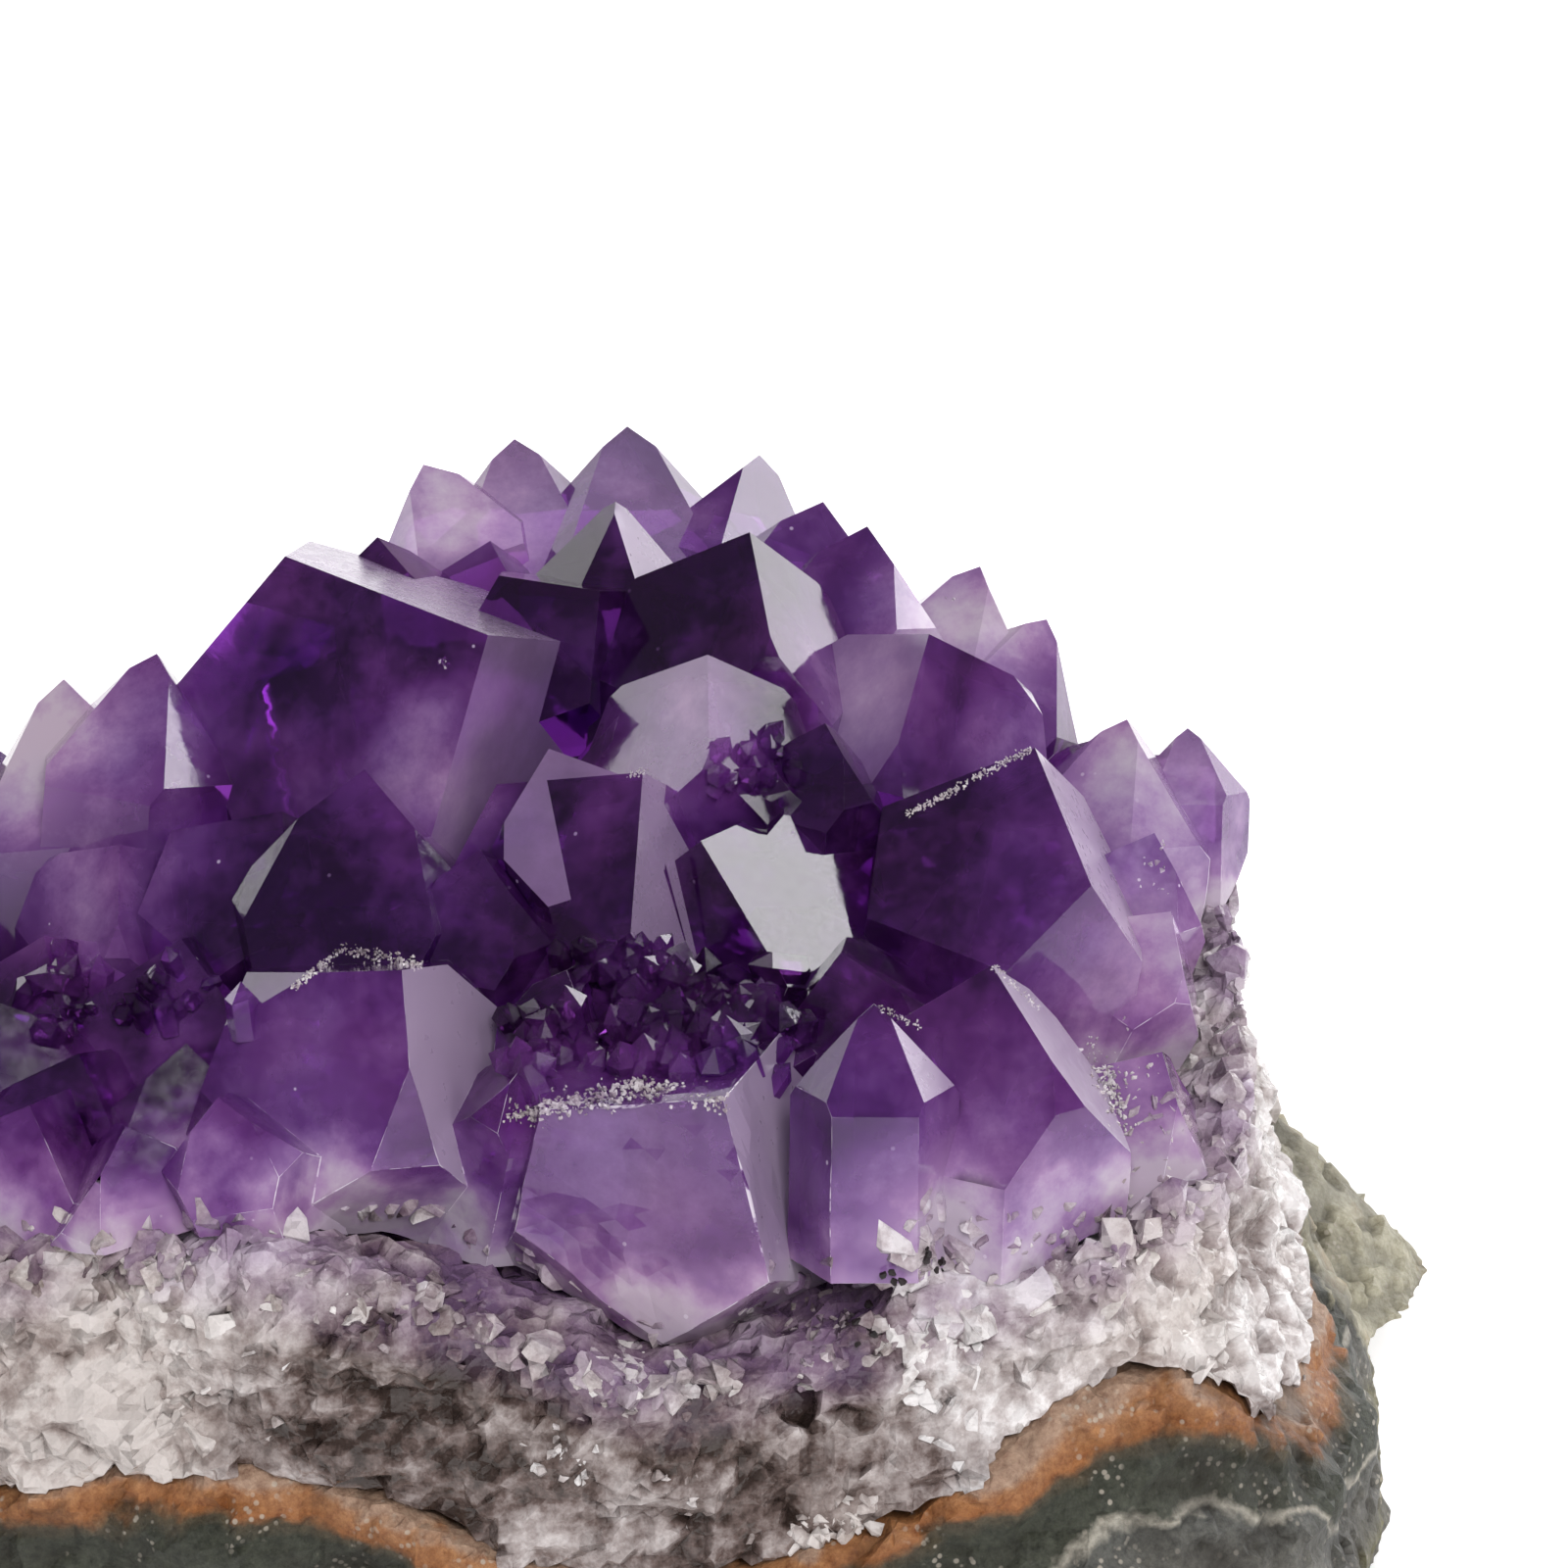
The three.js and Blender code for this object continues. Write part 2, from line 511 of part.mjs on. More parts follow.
const seen = seenCrystals.map((crystal) => ({
  ...crystal,
  tip: fromPicture(crystal.seenAt, crystal.depth),
  axis: fromLeans(crystal.leans),
}));
const allCrystals = [...seen, ...hiddenCrystals(seen)];
const grown = allCrystals.map(crystalSolid).reduce((joined, crystal) => joined.add(crystal));
const lump = lumpSolid();
const crystals = biggestShell(
  grown.intersect(allAbove(rootHeight, contactGap / 2)).subtract(flakeSolid(flakeGap)));
const quartz = biggestShell(lump
  .intersect(allAbove(rockHeight, contactGap / 2))
  .subtract(allAbove(rootHeight, -contactGap / 2))
  .subtract(flakeSolid(flakeGap)));
const rock = biggestShell(lump
  .subtract(allAbove(rockHeight, -contactGap / 2))
  .add(flakeSolid(0)));

const cluster = new THREE.Group();
cluster.name = 'amethyst_cluster';
cluster.add(meshFrom(crystals, 'amethyst_crystals', new THREE.MeshStandardMaterial({
  color: 0x5a2d82,
  roughness: 0.1,
  metalness: 0,
})));
cluster.add(meshFrom(quartz, 'quartz_layer', new THREE.MeshStandardMaterial({
  color: 0xc8bec0,
  roughness: 0.5,
  metalness: 0,
})));
cluster.add(meshFrom(rock, 'matrix_rock', new THREE.MeshStandardMaterial({
  color: 0x6b625a,
  roughness: 0.8,
  metalness: 0,
})));

// The origin goes under the middle of the whole specimen.
const box = new THREE.Box3().setFromObject(cluster);
const centre = box.getCenter(new THREE.Vector3());
for (const mesh of cluster.children) {
  mesh.position.set(-centre.x, -centre.y, -box.min.z);
}

export default cluster;
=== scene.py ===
import math

import bmesh
import bpy
import numpy as np
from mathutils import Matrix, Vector
from mathutils.bvhtree import BVHTree


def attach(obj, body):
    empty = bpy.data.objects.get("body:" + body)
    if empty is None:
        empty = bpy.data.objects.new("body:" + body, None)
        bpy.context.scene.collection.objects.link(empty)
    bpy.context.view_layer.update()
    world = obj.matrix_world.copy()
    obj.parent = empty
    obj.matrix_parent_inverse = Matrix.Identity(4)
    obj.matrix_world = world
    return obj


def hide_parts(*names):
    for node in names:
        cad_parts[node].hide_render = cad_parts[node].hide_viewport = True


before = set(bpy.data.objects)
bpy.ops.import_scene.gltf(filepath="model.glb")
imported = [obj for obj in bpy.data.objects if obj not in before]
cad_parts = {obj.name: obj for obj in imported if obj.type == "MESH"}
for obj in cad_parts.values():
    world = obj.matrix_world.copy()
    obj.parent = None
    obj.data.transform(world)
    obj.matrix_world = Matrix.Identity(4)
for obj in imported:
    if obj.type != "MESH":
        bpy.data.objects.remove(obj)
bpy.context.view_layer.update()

MM = 0.001

# The camera stands where the photograph was taken from: close, and looking down a little.
PICTURE_WIDTH = 1600
PIXELS_PER_MM = 15
SIGHT_DISTANCE = 320 * MM
SIGHT_HEIGHT = 52 * MM
LOOK_DOWN = math.radians(22)
SENSOR_WIDTH = 36.0
MIDDLE_SHIFT = Vector((14.438 * MM, -0.734 * MM, 0.0))
TO_VIEWER = Vector((0.0, -math.cos(LOOK_DOWN), math.sin(LOOK_DOWN)))
PICTURE_UP = Vector((0.0, math.sin(LOOK_DOWN), math.cos(LOOK_DOWN)))
SIGHT = Vector((0.0, 0.0, SIGHT_HEIGHT)) + MIDDLE_SHIFT
EYE = SIGHT + TO_VIEWER * SIGHT_DISTANCE

# How finely the stone and the crystals are meshed, and how wide the crystals' worn edges are.
STONE_STEP = 0.75 * MM
CRYSTAL_BEVEL = 0.14 * MM
CRYSTAL_STEP = 1.6 * MM

# Where the purple is paler inside the crystals: across and down in the photograph, how far it
# reaches in mm, and how pale it gets.
PALE_ZONES = [
    (440, 800, 4.5, 0.75), (360, 780, 6.0, 0.25), (30, 760, 9.0, 0.95), (470, 520, 7.0, 0.8),
    (650, 490, 6.0, 0.45), (990, 640, 7.0, 0.95), (880, 700, 4.5, 0.75), (700, 730, 5.0, 0.5),
    (1150, 800, 8.0, 0.9), (1190, 960, 8.0, 0.8), (1150, 1110, 6.0, 0.75), (330, 1130, 7.0, 0.5),
    (620, 1230, 8.0, 0.5), (985, 1110, 6.0, 0.35), (960, 1250, 6.0, 1.0), (60, 1220, 9.0, 0.2),
    (80, 900, 6.0, 0.55), (800, 1190, 4.0, 0.5), (480, 890, 4.0, 0.25), (1060, 1260, 7.0, 0.8),
    (160, 1200, 7.0, 0.3), (1020, 900, 4.0, 0.15), (880, 1100, 5.0, 0.3), (760, 500, 5.0, 0.3),
    (840, 600, 4.0, 0.35),
]

# Faces made matt and painted grey-lilac, a painted reflection of the bright backdrop: a place on each, and
# how strong it is.
MATT_AND_PAINTED_REFLECTION_FACES = [
    (420, 606, 0.65), (506, 746, 0.5), (651, 554, 0.75), (553, 844, 0.45), (1112, 865, 0.75),
    (670, 892, 0.7), (455, 1068, 0.8), (783, 1171, 0.8), (656, 1232, 0.12), (1087, 1076, 0.85),
    (941, 1088, 0.7), (893, 703, 0.4),
]

# A place on the big front crystal whose faces are rounded and lumpy.
ROUNDED_CRYSTAL = (640, 1230)

# Where the crystals' edges are chipped, in the photograph: the ridge's two ends, how many
# splinters, their size in mm, and how far they stray from the ridge in pixels.
CHIPPED_RIDGES = [
    ((1052, 764), (925, 832), 280, (0.12, 0.3), 1.8),
    ((300, 1008), (350, 968), 110, (0.12, 0.36), 2.4),
    ((350, 968), (430, 985), 150, (0.12, 0.4), 3.2),
    ((525, 1138), (650, 1110), 300, (0.12, 0.5), 6.0),
    ((650, 1110), (740, 1122), 220, (0.12, 0.5), 6.0),
    ((1012, 985), (1062, 1030), 80, (0.12, 0.3), 1.8),
    ((1110, 1060), (1150, 1150), 160, (0.12, 0.5), 6.0),
    ((640, 792), (660, 786), 30, (0.12, 0.26), 1.8),
    ((895, 1026), (940, 1050), 50, (0.12, 0.26), 1.8),
]

# Patches of broken white quartz in the photograph, and three of white bits on the crystals that are
# painted glints: middle, half extents, how many bits, their size in mm, and how white they are.
BROKEN_PATCHES_AND_PAINTED_GLINTS = [
    ((650, 1395), (65, 26), 70, (1.0, 3.6), 0.55),
    ((955, 1370), (40, 90), 100, (1.0, 4.2), 0.55),
    ((1120, 1260), (110, 40), 60, (0.8, 3.0), 0.3),
    ((1200, 1160), (60, 80), 60, (0.8, 3.0), 0.35),
    ((120, 1300), (120, 26), 70, (1.2, 4.5), 0.15),
    ((380, 1325), (130, 26), 90, (0.8, 3.4), 0.0),
    ((955, 1285), (38, 50), 60, (1.6, 5.5), 0.45),
    ((820, 1350), (60, 60), 60, (0.8, 2.5), 0.1),
    ((590, 1485), (45, 26), 46, (0.6, 2.4), 0.55),
    ((860, 1560), (60, 30), 50, (0.6, 2.4), 0.5),
    ((700, 1530), (45, 26), 40, (0.6, 2.2), 0.35),
    ((1230, 1370), (45, 22), 36, (0.6, 2.0), 0.6),
    ((210, 1400), (90, 70), 40, (1.5, 4.5), 0.5),
    # Painted glints: these three put near-white bits on the crystals in place of bright highlights.
    ((452, 676), (6, 4), 14, (0.25, 0.6), 0.9),
    ((975, 612), (12, 8), 10, (0.4, 0.9), 0.9),
    ((1178, 885), (20, 30), 30, (0.4, 1.4), 0.8),
    ((1150, 1080), (30, 40), 40, (0.3, 1.0), 0.5),
]

# Patches of small dark points in the hollows: middle, half extents, how many, their size in mm.
GLITTER_PATCHES = [
    ((700, 1040), (120, 60), 150, (0.8, 2.6)),
    ((640, 985), (70, 25), 40, (0.6, 1.8)),
    ((780, 780), (60, 35), 14, (0.8, 1.8)),
    ((560, 1060), (50, 50), 30, (0.8, 2.2)),
    ((120, 1020), (110, 45), 30, (0.8, 2.4)),
]

# Where the black specks are.
DARK_SPECKS = [
    (915, 1310), (906, 1300), (880, 1355), (950, 1290), (936, 1286), (872, 1362), (890, 1340),
]

# The olive flake's left edge in the photograph, as across at each place down, and its lower end.
FLAKE_EDGE_DOWN = [1112, 1290, 1372]
FLAKE_EDGE_ACROSS = [1288, 1335, 1395]
FLAKE_BOTTOM = 1385

# The studio's lamps: name, azimuth, elevation, distance in metres, size in metres, brightness,
# whether crystals mirror it, and whether it lights matt surfaces.
STUDIO_LAMPS = [
    ("right_softbox", 66, 38, 0.6, 0.26, 8, True, False),
    ("low_right_card", 58, 10, 0.7, 0.26, 3, True, False),
    ("left_card", -69, 25, 0.6, 0.16, 3.5, True, False),
    ("top_card", 10, 80, 0.7, 0.3, 1.5, True, True),
    ("right_fill", 85, 45, 0.8, 0.3, 2.2, False, True),
    ("front_fill", 170, 40, 0.9, 0.5, 8, False, True),
]
AMBIENT_LIGHT = 0.12


def linear(hex_colour):
    """The linear colour of an sRGB hex value, with alpha 1."""
    srgb = [int(hex_colour[i:i + 2], 16) / 255 for i in (1, 3, 5)]
    return tuple(c / 12.92 if c <= 0.04045 else ((c + 0.055) / 1.055) ** 2.4 for c in srgb) + (1.0,)


def add_node(tree, kind, settings=None, **inputs):
    """A node of a kind; settings are its properties, inputs its sockets (a value or a socket)."""
    node = tree.nodes.new(kind)
    for name, value in (settings or {}).items():
        setattr(node, name, value)
    for name, value in inputs.items():
        key = int(name[1:]) if name[0] == "_" else name.replace("_", " ")
        socket = node.inputs[key]
        if isinstance(value, bpy.types.NodeSocket):
            tree.links.new(value, socket)
        else:
            socket.default_value = value
    return node


def new_material(name):
    """An empty node material with its output node."""
    material = bpy.data.materials.new(name)
    material.use_nodes = True
    material.node_tree.nodes.clear()
    output = material.node_tree.nodes.new("ShaderNodeOutputMaterial")
    return material, material.node_tree, output


def ramp(tree, factor, stops):
    """A colour ramp through (place, hex colour) stops."""
    node = add_node(tree, "ShaderNodeValToRGB", Fac=factor)
    elements = node.color_ramp.elements
    elements[0].position, elements[0].color = stops[0][0], linear(stops[0][1])
    elements[1].position, elements[1].color = stops[-1][0], linear(stops[-1][1])
    for place, colour in stops[1:-1]:
        elements.new(place).color = linear(colour)
    return node.outputs["Color"]


def spread(tree, value, low, high, to_low=0.0, to_high=1.0):
    """A value stretched from one range to another, kept inside it."""
    node = add_node(tree, "ShaderNodeMapRange", Value=value, From_Min=low, From_Max=high,
                    To_Min=to_low, To_Max=to_high)
    return node.outputs["Result"]


def mix(tree, factor, first, second, blend="MIX"):
    """Two colours mixed."""
    node = add_node(tree, "ShaderNodeMix", {"data_type": "RGBA", "blend_type": blend}, _0=factor,
                    _6=first, _7=second)
    return node.outputs[2]


def noise(tree, place, per_metre, detail=3.0, roughness=0.55):
    """Cloud noise at a given number of lumps per metre."""
    node = add_node(tree, "ShaderNodeTexNoise", Vector=place, Scale=per_metre, Detail=detail,
                    Roughness=roughness)
    return node.outputs["Fac"]


def attribute(tree, name):
    """A value stored on the mesh."""
    return add_node(tree, "ShaderNodeAttribute", {"attribute_name": name}).outputs["Fac"]


def hashed(cells, salt):
    """A value from 0 to 1 for each whole-number cell: the fraction of a large sine."""
    mixed = cells @ np.array([127.1, 311.7, 74.7]) + 19.19 * salt
    value = np.sin(mixed) * 43758.5453
    return value - np.floor(value)


def cloud(points, size, salt=0):
    """Smooth noise from -1 to 1: values at cell corners, blended by 3t^2 - 2t^3 along each axis."""
    scaled = points / size
    cell = np.floor(scaled)
    t = scaled - cell
    t = t * t * (3 - 2 * t)
    total = np.zeros(len(points))
    for corner in np.ndindex(2, 2, 2):
        step = np.array(corner)
        weight = np.prod(np.where(step == 1, t, 1 - t), axis=1)
        total += weight * hashed(cell + step, salt)
    return 2 * total - 1


def grains(points, size, salt=0):
    """Broken grains: each point takes the tilt of its nearest grain centre, which gives flat,
    differently tilted faces; d . r with d the way from the centre and r the grain's own direction."""
    scaled = points / size
    cell = np.floor(scaled)
    nearest = np.full(len(points), np.inf)
    height = np.zeros(len(points))
    for corner in np.ndindex(3, 3, 3):
        home = cell + np.array(corner) - 1
        centre = home + np.stack([hashed(home, salt + k) for k in range(3)], axis=1)
        away = scaled - centre
        distance = np.sum(away ** 2, axis=1)
        tilt = np.stack([hashed(home, salt + 3 + k) for k in range(3)], axis=1) * 2 - 1
        lift = np.sum(away * tilt, axis=1) + 0.6 * hashed(home, salt + 7)
        closer = distance < nearest
        nearest = np.where(closer, distance, nearest)
        height = np.where(closer, lift, height)
    return height


def mesh_points(mesh):
    """All corners of a mesh as one array."""
    flat = np.empty(3 * len(mesh.vertices))
    mesh.vertices.foreach_get("co", flat)
    return flat.reshape(-1, 3)


def mesh_normals(mesh):
    """The outward direction at each corner of a mesh."""
    flat = np.empty(3 * len(mesh.vertices))
    mesh.vertices.foreach_get("normal", flat)
    return flat.reshape(-1, 3)


def store(mesh, name, values):
    """A value per corner, kept on the mesh for the materials."""
    layer = mesh.attributes.new(name, "FLOAT", "POINT")
    layer.data.foreach_set("value", values.astype(np.float32))


def merged_copy(node, name):
    """A copy of a frame node as a new object, its loose triangles joined along their edges."""
    mesh = bpy.data.objects[node].data.copy()
    mesh.materials.clear()
    shape = bmesh.new()
    shape.from_mesh(mesh)
    bmesh.ops.remove_doubles(shape, verts=shape.verts, dist=0.002 * MM)
    bmesh.ops.dissolve_limit(shape, angle_limit=math.radians(0.6), verts=shape.verts, edges=shape.edges)
    shape.to_mesh(mesh)
    shape.free()
    piece = bpy.data.objects.new(name, mesh)
    bpy.context.scene.collection.objects.link(piece)
    return piece


def finished_mesh(piece):
    """The mesh that a piece's modifiers give, put in place of them."""
    evaluated = piece.evaluated_get(bpy.context.evaluated_depsgraph_get())
    mesh = bpy.data.meshes.new_from_object(evaluated)
    piece.modifiers.clear()
    piece.data = mesh
    return mesh


def top_surface(node):
    """A smooth height over (x, y) from the node's faces that look up: each face counts by
    1 / (d^2 + r^2)^2 with d its distance and r a few mm."""
    mesh = bpy.data.objects[node].data
    centres = np.empty(3 * len(mesh.polygons))
    normals = np.empty(3 * len(mesh.polygons))
    mesh.polygons.foreach_get("center", centres)
    mesh.polygons.foreach_get("normal", normals)
    centres = centres.reshape(-1, 3)
    looks_up, above_base = 0.75, 6 * MM
    chosen = normals.reshape(-1, 3)[:, 2] > looks_up
    centres = centres[chosen & (centres[:, 2] > above_base)]
    softness = 3 * MM
    at_once = 4000

    def height(points):
        result = np.empty(len(points))
        for start in range(0, len(points), at_once):
            part = points[start:start + at_once]
            apart = part[:, None, :2] - centres[None, :, :2]
            weight = 1 / (np.sum(apart ** 2, axis=2) + softness ** 2) ** 2
            result[start:start + at_once] = weight @ centres[:, 2] / weight.sum(axis=1)
        return result

    return height


def seen_at(points):
    """Where places are seen in the photograph: across and down, 0 to 1600."""
    away = points - np.array(EYE)
    scale = SIGHT_DISTANCE * PIXELS_PER_MM / MM / -(away @ np.array(TO_VIEWER))
    across = PICTURE_WIDTH / 2 + away[:, 0] * scale
    down = PICTURE_WIDTH / 2 - (away @ np.array(PICTURE_UP)) * scale
    return across, down


def nearest_hit(trees, start, way):
    """The first place that a line meets on any of the surfaces, and its outward direction."""
    hits = [tree.ray_cast(start, way) for tree in trees]
    hits = [hit for hit in hits if hit[0] is not None]
    if not hits:
        return None
    place, normal, _, _ = min(hits, key=lambda hit: hit[3])
    return np.array(place), np.array(normal)


def found_in_picture(trees, seen):
    """The places and outward directions on the surfaces at (across, down) places seen."""
    hits = []
    for across, down in seen:
        right = (across - PICTURE_WIDTH / 2) / PIXELS_PER_MM * MM
        up = (PICTURE_WIDTH / 2 - down) / PIXELS_PER_MM * MM
        way = Vector((right, 0.0, 0.0)) + PICTURE_UP * up - TO_VIEWER * SIGHT_DISTANCE
        hit = nearest_hit(trees, EYE, way.normalized())
        if hit is not None:
            hits.append(hit)
    return np.array([hit[0] for hit in hits]), np.array([hit[1] for hit in hits])


class BareSurfaces:
    """The undressed frame nodes, to find places on: the crystals, the crystals with the quartz, and
    the height of the surface that the roots end on."""

    def __init__(self):
        graph = bpy.context.evaluated_depsgraph_get()
        crystals, quartz = [BVHTree.FromObject(bpy.data.objects[node], graph)
                            for node in ("amethyst_crystals", "quartz_layer")]
        self.crystals = [crystals]
        self.front = [crystals, quartz]
        self.roots = top_surface("quartz_layer")


def shard_shape(salt):
    """A broken lump of quartz about 1 across: the hull round a dozen points on a ball."""
    points = np.random.default_rng(salt).normal(size=(12, 3))
    points *= (0.5 / np.linalg.norm(points, axis=1))[:, None] * np.array([1.0, 0.8, 0.65])
    shape = bmesh.new()
    for point in points:
        shape.verts.new(point)
    extra = bmesh.ops.convex_hull(shape, input=shape.verts)["geom_interior"]
    bmesh.ops.delete(shape, geom=[part for part in extra if isinstance(part, bmesh.types.BMVert)])
    bmesh.ops.triangulate(shape, faces=shape.faces)
    shape.verts.index_update()
    corners = np.array([vertex.co[:] for vertex in shape.verts])
    faces = np.array([[vertex.index for vertex in face.verts] for face in shape.faces])
    shape.free()
    return corners, faces


def point_shape():
    """A small six-sided quartz point: a prism 1 across with a pointed tip."""
    angles = np.radians(60 * np.arange(6))
    ring = np.stack([0.5 * np.cos(angles), 0.5 * np.sin(angles)], axis=1)
    foot = np.column_stack([ring, np.full(6, -0.8)])
    shoulder = np.column_stack([ring, 0.35 + 0.12 * (np.arange(6) % 2)])
    corners = np.vstack([foot, shoulder, [[0.0, 0.0, -0.8], [0.05, 0.0, 0.95]]])
    k = np.arange(6)
    n = (k + 1) % 6
    faces = np.vstack([
        np.column_stack([n, k, np.full(6, 12)]), np.column_stack([k, n, n + 6]),
        np.column_stack([k, n + 6, k + 6]), np.column_stack([k + 6, n + 6, np.full(6, 13)])])
    return corners, faces


def scattered(name, shapes, places, ways, sizes, salt, whiteness):
    """One mesh of many small copies: corner = place + size * (x u + y v + z w), with w the way each
    copy stands and u, v across it, turned at random. Keeps a random tone for each copy, and a
    whiteness that grows with it."""
    draw = np.random.default_rng(salt)
    count = len(places)
    white = np.broadcast_to(whiteness, count)
    w = ways / np.linalg.norm(ways, axis=1)[:, None]
    u = np.cross(w, draw.normal(size=(count, 3)))
    u /= np.linalg.norm(u, axis=1)[:, None]
    v = np.cross(w, u)
    kinds = draw.integers(0, len(shapes), count)
    corners, faces, tones, whites, total = [], [], [], [], 0
    for kind, (shape_corners, shape_faces) in enumerate(shapes):
        chosen = kinds == kind
        x, y, z = [shape_corners[None, :, k, None] for k in range(3)]
        turned = x * u[chosen, None] + y * v[chosen, None] + z * w[chosen, None]
        moved = places[chosen, None] + sizes[chosen, None, None] * turned
        offsets = total + len(shape_corners) * np.arange(chosen.sum())
        corners.append(moved.reshape(-1, 3))
        faces.append((shape_faces[None] + offsets[:, None, None]).reshape(-1, 3))
        tones.append(np.repeat(draw.uniform(0, 1, chosen.sum()), len(shape_corners)))
        whites.append(np.repeat(white[chosen], len(shape_corners)))
        total += moved.shape[0] * moved.shape[1]
    mesh = bpy.data.meshes.new(name)
    mesh.from_pydata(np.vstack(corners).tolist(), [], np.vstack(faces).tolist())
    store(mesh, "tone", np.concatenate(tones))
    store(mesh, "whiteness", np.concatenate(whites) + 0.5 * np.concatenate(tones))
    piece = bpy.data.objects.new(name, mesh)
    bpy.context.scene.collection.objects.link(piece)
    return piece


def stone_copy(node, name):
    """A frame node as an even, fine mesh that can be roughened."""
    piece = merged_copy(node, name)
    remesh = piece.modifiers.new("even", "REMESH")
    remesh.mode = "VOXEL"
    remesh.voxel_size = STONE_STEP
    finished_mesh(piece)
    return piece


def roughen(piece, lift):
    """Moves each corner outwards by lift (metres), held back near the flat underside."""
    points = mesh_points(piece.data)
    held = np.clip(points[:, 2] / (2 * MM), 0, 1)
    moved = points + mesh_normals(piece.data) * (lift * held)[:, None]
    piece.data.vertices.foreach_set("co", moved.ravel())
    piece.data.update()


def broken_faces(tree, place, per_metre, tilt):
    """A normal that leans another way in each cell of a grain pattern, like the small flat faces of
    broken quartz: N + tilt * (r - 0.5) with r random in each cell."""
    cells = add_node(tree, "ShaderNodeTexVoronoi", Vector=place, Scale=per_metre)
    centred = add_node(tree, "ShaderNodeVectorMath", {"operation": "SUBTRACT"},
                       _0=cells.outputs["Color"], _1=(0.5, 0.5, 0.5)).outputs["Vector"]
    lean = add_node(tree, "ShaderNodeVectorMath", {"operation": "SCALE"}, _0=centred, Scale=tilt)
    base = add_node(tree, "ShaderNodeNewGeometry").outputs["Normal"]
    total = add_node(tree, "ShaderNodeVectorMath", {"operation": "ADD"}, _0=base,
                     _1=lean.outputs["Vector"]).outputs["Vector"]
    unit = add_node(tree, "ShaderNodeVectorMath", {"operation": "NORMALIZE"}, _0=total)
    return unit.outputs["Vector"]


def specks(tree, place, per_metre, size):
    """1 inside small round specks, size as a share of their spacing, 0 elsewhere."""
    cells = add_node(tree, "ShaderNodeTexVoronoi", Vector=place, Scale=per_metre)
    return spread(tree, cells.outputs["Distance"], size, 1.5 * size, 1.0, 0.0)


def either(tree, first, second, operation="MAXIMUM"):
    """Two values put together by a sum, product, largest and so on."""
    return add_node(tree, "ShaderNodeMath", {"operation": operation}, _0=first, _1=second).outputs[0]


def amethyst_material():
    """Amethyst: clear purple quartz, darkest at the tips, milky and nearly colourless at the roots.
    The natural faces are glossy but have a fine etching, so they mirror softly; the worn edges and the
    dust on them scatter white. Listed faces are made matt and painted grey-lilac, a painted reflection
    of the bright backdrop."""
    material, tree, output = new_material("amethyst")
    place = add_node(tree, "ShaderNodeTexCoord").outputs["Object"]
    pale = attribute(tree, "pale")
    drift = spread(tree, noise(tree, place, 140, 3), 0.3, 0.7, -4 * MM, 4 * MM)
    rooted = spread(tree, either(tree, attribute(tree, "rise"), drift, "ADD"), 0.0, 12 * MM, 1.0, 0.0)
    cloudy = spread(tree, noise(tree, place, 130, 6, 0.65), 0.4, 0.68, -0.12, 0.2)
    milky = either(tree, either(tree, rooted, pale), cloudy, "ADD")
    matt_and_painted_reflection = attribute(tree, "matt_and_painted_reflection")
    tint = ramp(tree, milky, [(0.0, "#8A48A8"), (0.25, "#9652B4"), (0.5, "#A272B8"), (0.75, "#BA98C4"),
                              (1.0, "#DCCFDC")])
    violet = spread(tree, noise(tree, place, 90, 2), 0.35, 0.65)
    tint = mix(tree, 0.3, tint, ramp(tree, violet, [(0.0, "#6A50B0"), (1.0, "#C060B0")]), "SOFT_LIGHT")
    worn = spread(tree, noise(tree, place, 700, 3), 0.46, 0.56)
    frost = either(tree, attribute(tree, "worn_edge"), worn, "MULTIPLY")
    dust = either(tree, specks(tree, place, 420, 0.05), spread(tree, noise(tree, place, 60, 2), 0.5, 0.6),
                  "MULTIPLY")
    frost = either(tree, frost, either(tree, dust, 0.7, "MULTIPLY"))
    tint = mix(tree, frost, tint, linear("#D8CCDC"))
    # Painted reflection: the listed faces are painted grey-lilac in place of the bright backdrop's
    # reflection, and made rougher and less clear.
    tint = mix(tree, matt_and_painted_reflection, tint, linear("#B8A8BE"))
    steps = add_node(tree, "ShaderNodeBump", Strength=0.07, Distance=0.2 * MM,
                     Height=noise(tree, place, 500, 4))
    see_through = spread(tree, milky, 0.0, 0.8, 0.95, 0.3)
    see_through = either(tree, see_through, spread(tree, frost, 0.0, 1.0, 1.0, 0.1), "MULTIPLY")
    see_through = either(tree, see_through, spread(tree, matt_and_painted_reflection, 0.0, 1.0, 1.0, 0.15), "MULTIPLY")
    gloss = spread(tree, noise(tree, place, 900, 2), 0.3, 0.7, 0.03, 0.12)
    scattering = either(tree, frost, either(tree, matt_and_painted_reflection, 0.6, "MULTIPLY"))
    shader = add_node(tree, "ShaderNodeBsdfPrincipled", Base_Color=tint, IOR=1.544,
                      Roughness=either(tree, gloss, either(tree, scattering, 0.5, "MULTIPLY"), "ADD"),
                      Transmission_Weight=see_through, Normal=steps.outputs["Normal"])
    absorb = add_node(tree, "ShaderNodeVolumeAbsorption", Density=60.0)
    absorb.inputs["Color"].default_value = (0.40, 0.05, 0.50, 1.0)
    tree.links.new(shader.outputs["BSDF"], output.inputs["Surface"])
    tree.links.new(absorb.outputs["Volume"], output.inputs["Volume"])
    return material


